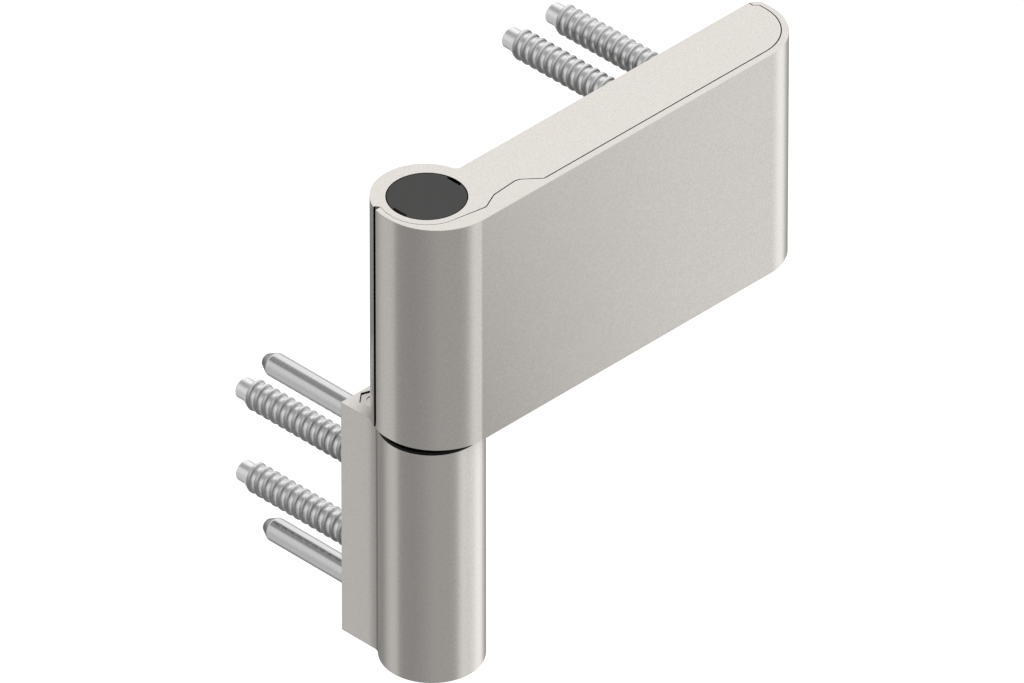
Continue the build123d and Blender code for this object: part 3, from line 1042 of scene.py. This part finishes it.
@dataclass
class Leaf:
    """The upper part, which is fixed to the door: casting, clip-on cover and barrel cap."""

    pin_y: float = -18.5
    barrel_radius: float = 11.1
    barrel_rise: float = 1.8
    bore_rise: float = 1.2
    nose_radius: float = 13.5
    end_radius: float = 12.0
    back_radius: float = 2.6
    front: float = -12.66
    back: float = 3.63
    end: float = 96.75
    seam_gap: float = 0.2
    arc_gap: float = 0.02
    hook_y: float = 6.2
    hook_gap: float = 1.0
    seam_depth: float = 1.2
    seam_stop: float = 250.0
    bends: tuple[tuple[float, float, float], ...] = ((5.8, -9.7, 1.4), (9.95, -7.8, 2.5), (17.05, -7.25, 2.5))
    fall_x: float = 21.2
    fall_radius: float = 0.6
    thickness: float = 1.81
    end_wall: float = 1.4
    lip_reach: float = 0.95
    lip_height: float = 1.28
    rim: float = 0.15
    cap_radius: float = 8.14
    cap_edge: float = 0.1
    pry_width: float = 3.7
    pry_floor: float = 7.4

    def at(self, x: float, y: float, z: float) -> Vector:
        """Give a point that is measured from the pin's axis.

        Args:
            x: Along the leaf.
            y: Towards the door frame.
            z: The height in the row's frame.

        Returns:
            The point in the row's frame.
        """
        return Vector((x, y + self.pin_y, z))

    def cover(self) -> bpy.types.Object:
        """Draw the clip-on cover's section and extrude it over the leaf's height.

        Returns:
            The cover's object.
        """
        low, high = (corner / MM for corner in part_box("leaf_cover"))
        z = low.z
        hook_y = self.hook_y - self.hook_gap
        seam_radius = self.barrel_radius - self.seam_depth + self.arc_gap
        seam_front = self.front + self.thickness - self.seam_gap
        seam_end = self.end - self.end_wall + self.seam_gap
        inner_end_radius = self.end_radius - self.end_wall + self.seam_gap
        lip_x = seam_end - self.lip_reach
        lip_y = self.back - self.lip_height
        hook_rise = hook_y - self.barrel_rise
        hook_angle = 180.0 - math.degrees(math.asin(hook_rise / self.barrel_radius))
        inner_hook = 180.0 - math.degrees(math.asin((hook_y - self.bore_rise) / seam_radius))
        back_angle = math.degrees(math.acos((lip_x - self.end + self.back_radius) / self.back_radius))
        bends = [(self.at(x, y - self.seam_gap, z), radius) for x, y, radius in self.bends]
        bends.append((self.at(self.fall_x, seam_front, z), self.fall_radius))
        pen = Pen(self.at(self.barrel_radius * math.cos(math.radians(hook_angle)), hook_y, z))
        pen.arc(self.at(0.0, self.barrel_rise, z), 180.0 - hook_angle)
        pen.line(self.at(-self.barrel_radius, self.front + self.nose_radius, z))
        pen.arc(self.at(self.nose_radius - self.barrel_radius, self.front + self.nose_radius, z), 90.0)
        pen.line(self.at(self.end - self.end_radius, self.front, z))
        pen.arc(self.at(self.end - self.end_radius, self.front + self.end_radius, z), 90.0)
        pen.line(self.at(self.end, self.back - self.back_radius, z))
        pen.arc(self.at(self.end - self.back_radius, self.back - self.back_radius, z), back_angle)
        pen.line(self.at(lip_x, lip_y, z), self.at(seam_end, lip_y - self.lip_reach, z))
        pen.line(self.at(seam_end, seam_front + inner_end_radius, z))
        pen.arc(self.at(seam_end - inner_end_radius, seam_front + inner_end_radius, z), -90.0)
        pen.line(*(corner for corner, _ in reversed(bends)))
        stop = math.radians(self.seam_stop)
        pen.line(self.at(seam_radius * math.cos(stop), self.bore_rise + seam_radius * math.sin(stop), z))
        pen.arc(self.at(0.0, self.bore_rise, z), inner_hook - self.seam_stop)
        pen.close()
        for corner, radius in bends:
            pen.round_corner(corner, radius)
        pen.raise_by((0.0, 0.0, high.z - low.z))
        pen.bevel_edges(level_rim, self.rim)
        return pen.object("leaf_cover_shell")

    def cap(self) -> bpy.types.Object:
        """Mould the barrel's cap: a flush disc with a pry notch at each side.

        Returns:
            The cap's object.
        """
        low, high = (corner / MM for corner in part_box("barrel_cap"))
        centre = self.at(0.0, self.bore_rise, low.z)
        half = self.pry_width / 2
        reach = math.sqrt(self.cap_radius**2 - half**2)
        sweep = 180.0 - 2.0 * math.degrees(math.asin(half / self.cap_radius))
        pen = Pen(centre + Vector((reach, half, 0.0)))
        pen.arc(centre, sweep)
        pen.line(
            centre + Vector((-self.pry_floor, half, 0.0)),
            centre + Vector((-self.pry_floor, -half, 0.0)),
        )
        pen.line(centre + Vector((-reach, -half, 0.0)))
        pen.arc(centre, sweep)
        pen.line(
            centre + Vector((self.pry_floor, -half, 0.0)),
            centre + Vector((self.pry_floor, half, 0.0)),
        )
        pen.close()
        pen.raise_by((0.0, 0.0, high.z - low.z))
        pen.bevel_edges(level_rim, self.cap_edge)
        return pen.object("cap_disc")

    def build(self, dresser: Dresser) -> None:
        """Make the leaf's pieces and dress them.

        Args:
            dresser: Gives the pieces their finish and body.
        """
        dresser.put(self.cover(), "front_satin_shaded", Body.LEAF, "leaf_cover")
        dresser.put(self.cap(), "cap_plastic", Body.LEAF, "barrel_cap")
        dresser.keep("leaf_body", "body_satin_shaded", 0.12)
        dresser.keep("bush_lock_screw", "bright_zinc")


@dataclass
class InnerWorks:
    """The pieces inside the barrels: pin, thrust disc, height screw, eccentric bush and liner."""

    pin_edge: float = 0.3

    def build(self, dresser: Dresser) -> None:
        """Dress the inner pieces.

        Args:
            dresser: Gives the pieces their finish and body.
        """
        dresser.keep("hinge_pin", "ground_steel", self.pin_edge)
        dresser.keep("thrust_disc", "bearing_plastic")
        dresser.keep("height_screw", "bright_zinc", self.pin_edge)
        dresser.keep("eccentric_bush", "cast_core")
        dresser.keep("pin_liner", "bearing_plastic")


# Studio and camera

# Soft light panels round the horizon: degrees right of the camera's side, and brightness
LOW_PANELS = (
    (-180.0, 0.26),
    (-150.0, 0.28),
    (-126.0, 0.36),
    (-112.0, 0.53),
    (-104.0, 0.65),
    (-90.0, 0.69),
    (-82.0, 0.66),
    (-71.0, 0.4),
    (-62.0, 0.37),
    (-40.0, 0.36),
    (-24.0, 0.385),
    (-7.0, 0.43),
    (4.0, 0.465),
    (40.0, 0.47),
    (50.0, 0.5),
    (57.0, 0.62),
    (65.0, 0.88),
    (71.0, 0.95),
    (84.0, 0.9),
    (99.0, 0.99),
    (108.0, 1.17),
    (118.0, 1.26),
    (130.0, 1.16),
    (142.0, 0.66),
    (156.0, 0.38),
    (180.0, 0.26),
)
# The same above them, which the level faces mirror
HIGH_PANELS = (
    (-180.0, 1.16),
    (-100.0, 0.84),
    (0.0, 0.84),
    (100.0, 0.95),
    (180.0, 1.16),
)


@dataclass
class Studio:
    """The pale floor, the soft light all round and the camera."""

    azimuth: float = -45.06
    elevation: float = 35.17
    anchor: tuple[float, float, float] = (0.0, -18.5, 28.3)
    shift_right: float = 16.24
    shift_up: float = 16.68
    frame_width: float = 206.64
    lens: float = 1000.0
    sensor: float = 36.0
    panel_blend: tuple[float, float] = (-0.35, 0.3)
    flag_way: tuple[float, float, float] = (-0.12, 0.6, 0.78)
    flag_edge: tuple[float, float] = (28.0, 18.0)
    flag_share: float = 0.7
    flag_color: tuple[float, float, float, float] = (0.1, 0.1, 0.1, 1.0)
    floor_drop: float = 0.4
    floor_size: float = 60.0
    floor_color: tuple[float, float, float, float] = (0.8, 0.8, 0.8, 1.0)
    floor_glow: float = 0.45

    def camera(self) -> None:
        """Set the camera far off with a long lens, so that parallel edges stay parallel."""
        data = bpy.data.cameras.new("camera")
        data.lens = self.lens
        data.sensor_width = self.sensor
        eye = bpy.data.objects.new("camera", data)
        bpy.context.scene.collection.objects.link(eye)
        turn, tilt = math.radians(self.azimuth), math.radians(self.elevation)
        back = Vector((math.sin(turn) * math.cos(tilt), -math.cos(turn) * math.cos(tilt), math.sin(tilt)))
        right = Vector((math.cos(turn), math.sin(turn), 0.0))
        aim = Vector(self.anchor) + right * self.shift_right + back.cross(right) * self.shift_up
        distance = self.frame_width * MM * self.lens / self.sensor
        eye.location = aim * MM + back * distance
        eye.rotation_mode = "QUATERNION"
        eye.rotation_quaternion = (-back).to_track_quat("-Z", "Y")
        data.clip_start = distance / 100
        data.clip_end = distance * 20
        bpy.context.scene.camera = eye

    def world(self) -> None:
        """Light the hinge from all round by broad soft panels, white where the camera looks past it."""
        world = bpy.data.worlds.new("studio")
        bpy.context.scene.world = world
        world.use_nodes = True
        tree = world.node_tree
        tree.nodes.clear()
        way = add_node(tree, "ShaderNodeTexCoord").outputs["Generated"]
        light = self.flag(tree, way, self.panels(tree, way))
        rays = add_node(tree, "ShaderNodeLightPath").outputs
        seen = calculate(tree, "MAXIMUM", rays["Is Camera Ray"], rays["Is Transmission Ray"])
        shown = mix_color(tree, seen, light, WHITE)
        sky = add_node(tree, "ShaderNodeBackground", {"Color": shown, "Strength": 1.0})
        output = add_node(tree, "ShaderNodeOutputWorld")
        tree.links.new(sky.outputs[0], output.inputs["Surface"])

    def panels(self, tree: bpy.types.NodeTree, way: bpy.types.NodeSocket) -> bpy.types.NodeSocket:
        """Spread both rows of panels and blend the lower one into the upper one.

        Args:
            tree: The world's node tree.
            way: The socket with the direction.

        Returns:
            The socket with the panels' light.
        """
        turn = math.radians(self.azimuth)
        ahead = along(tree, way, Vector((math.sin(turn), -math.cos(turn), 0.0)))
        side = along(tree, way, Vector((math.cos(turn), math.sin(turn), 0.0)))
        angle = calculate(tree, "ARCTAN2", side, ahead)
        share = map_range(tree, angle, (-math.pi, math.pi))
        low, high = (self.ramp(tree, share, row) for row in (LOW_PANELS, HIGH_PANELS))
        height = add_node(tree, "ShaderNodeSeparateXYZ", {0: way}).outputs["Z"]
        rise = map_range(tree, height, self.panel_blend, kind="SMOOTHSTEP")
        return mix_color(tree, rise, low, high)

    def flag(
        self, tree: bpy.types.NodeTree, way: bpy.types.NodeSocket, light: bpy.types.NodeSocket
    ) -> bpy.types.NodeSocket:
        """Hang a dark flag overhead, which draws the dark band along the dowels.

        Args:
            tree: The world's node tree.
            way: The socket with the direction.
            light: The socket with the light round the flag.

        Returns:
            The socket with the flagged light.
        """
        near = along(tree, way, Vector(self.flag_way).normalized())
        edge = [math.cos(math.radians(angle)) for angle in self.flag_edge]
        share = map_range(tree, near, edge, (0.0, self.flag_share), "SMOOTHSTEP")
        return mix_color(tree, share, light, self.flag_color)

    def ramp(
        self,
        tree: bpy.types.NodeTree,
        value: bpy.types.NodeSocket,
        panels: Iterable[tuple[float, float]],
    ) -> bpy.types.NodeSocket:
        """Spread a row of soft light panels round the horizon.

        Args:
            tree: The world's node tree.
            value: The socket with the direction's share of a full turn.
            panels: Pairs of a direction in degrees right of the camera's side, and a brightness.

        Returns:
            The socket with the panels' light.
        """
        node = add_node(tree, "ShaderNodeValToRGB", {"Fac": value})
        node.color_ramp.interpolation = "EASE"
        elements = node.color_ramp.elements
        elements.remove(elements[1])
        for number, (degrees, level) in enumerate(panels):
            stop = elements[0] if number == 0 else elements.new((degrees + 180.0) / 360.0)
            stop.color = (level, level, level, 1.0)
        return node.outputs["Color"]

    def floor(self) -> None:
        """Lay a wide pale floor below the hinge, which takes its shadow and is clear from beneath."""
        mesh = bmesh.new()
        bmesh.ops.create_grid(mesh, x_segments=1, y_segments=1, size=self.floor_size / 2)
        bmesh.ops.translate(mesh, verts=mesh.verts, vec=Vector((0.0, 0.0, cad_box[0][2] - self.floor_drop)))
        data = bpy.data.meshes.new("floor")
        mesh.to_mesh(data)
        mesh.free()
        ground = bpy.data.objects.new("floor", data)
        bpy.context.scene.collection.objects.link(ground)
        ground.visible_glossy = False
        data.materials.append(self.floor_material())

    def floor_material(self) -> bpy.types.Material:
        """Paint the floor pale, a little brighter to the camera and clear from beneath.

        Returns:
            The floor's material.
        """
        material = bpy.data.materials.new("pale_floor")
        material.use_nodes = True
        tree = material.node_tree
        tree.nodes.clear()
        paint = add_node(tree, "ShaderNodeBsdfDiffuse", {"Color": self.floor_color})
        rays = add_node(tree, "ShaderNodeLightPath")
        lift = calculate(tree, "MULTIPLY", rays.outputs["Is Camera Ray"], self.floor_glow)
        glow = add_node(tree, "ShaderNodeEmission", {"Color": WHITE, "Strength": lift})
        both = add_node(tree, "ShaderNodeAddShader", {0: paint.outputs[0], 1: glow.outputs[0]})
        clear = add_node(tree, "ShaderNodeBsdfTransparent")
        side = add_node(tree, "ShaderNodeNewGeometry")
        shown = add_node(
            tree,
            "ShaderNodeMixShader",
            {0: side.outputs["Backfacing"], 1: both.outputs[0], 2: clear.outputs[0]},
        )
        output = add_node(tree, "ShaderNodeOutputMaterial")
        tree.links.new(shown.outputs[0], output.inputs["Surface"])
        return material

    def build(self) -> None:
        """Set the whole studio up."""
        self.world()
        self.floor()
        self.camera()
        bpy.context.scene.view_settings.view_transform = "Standard"


def main() -> None:
    """Build the finishes, the hinge's pieces and the studio, in that order."""
    groups = {
        "grain": grain_group(),
        "haze": haze_group(),
        "crevice": crevice_painted_shade_group(),
        "crest": painted_crest_shade_group(),
        "falloff": painted_front_shade_group(),
        "junction": junction_group(),
    }
    dresser = Dresser({finish.name: (finish.build(groups), finish.slot) for finish in FINISHES})
    for part in (FramePart(), WoodScrews(), Leaf(), InnerWorks()):
        part.build(dresser)
        log.info("%s is done", type(part).__name__)
    Studio().build()


if __name__ == "__main__":
    main()
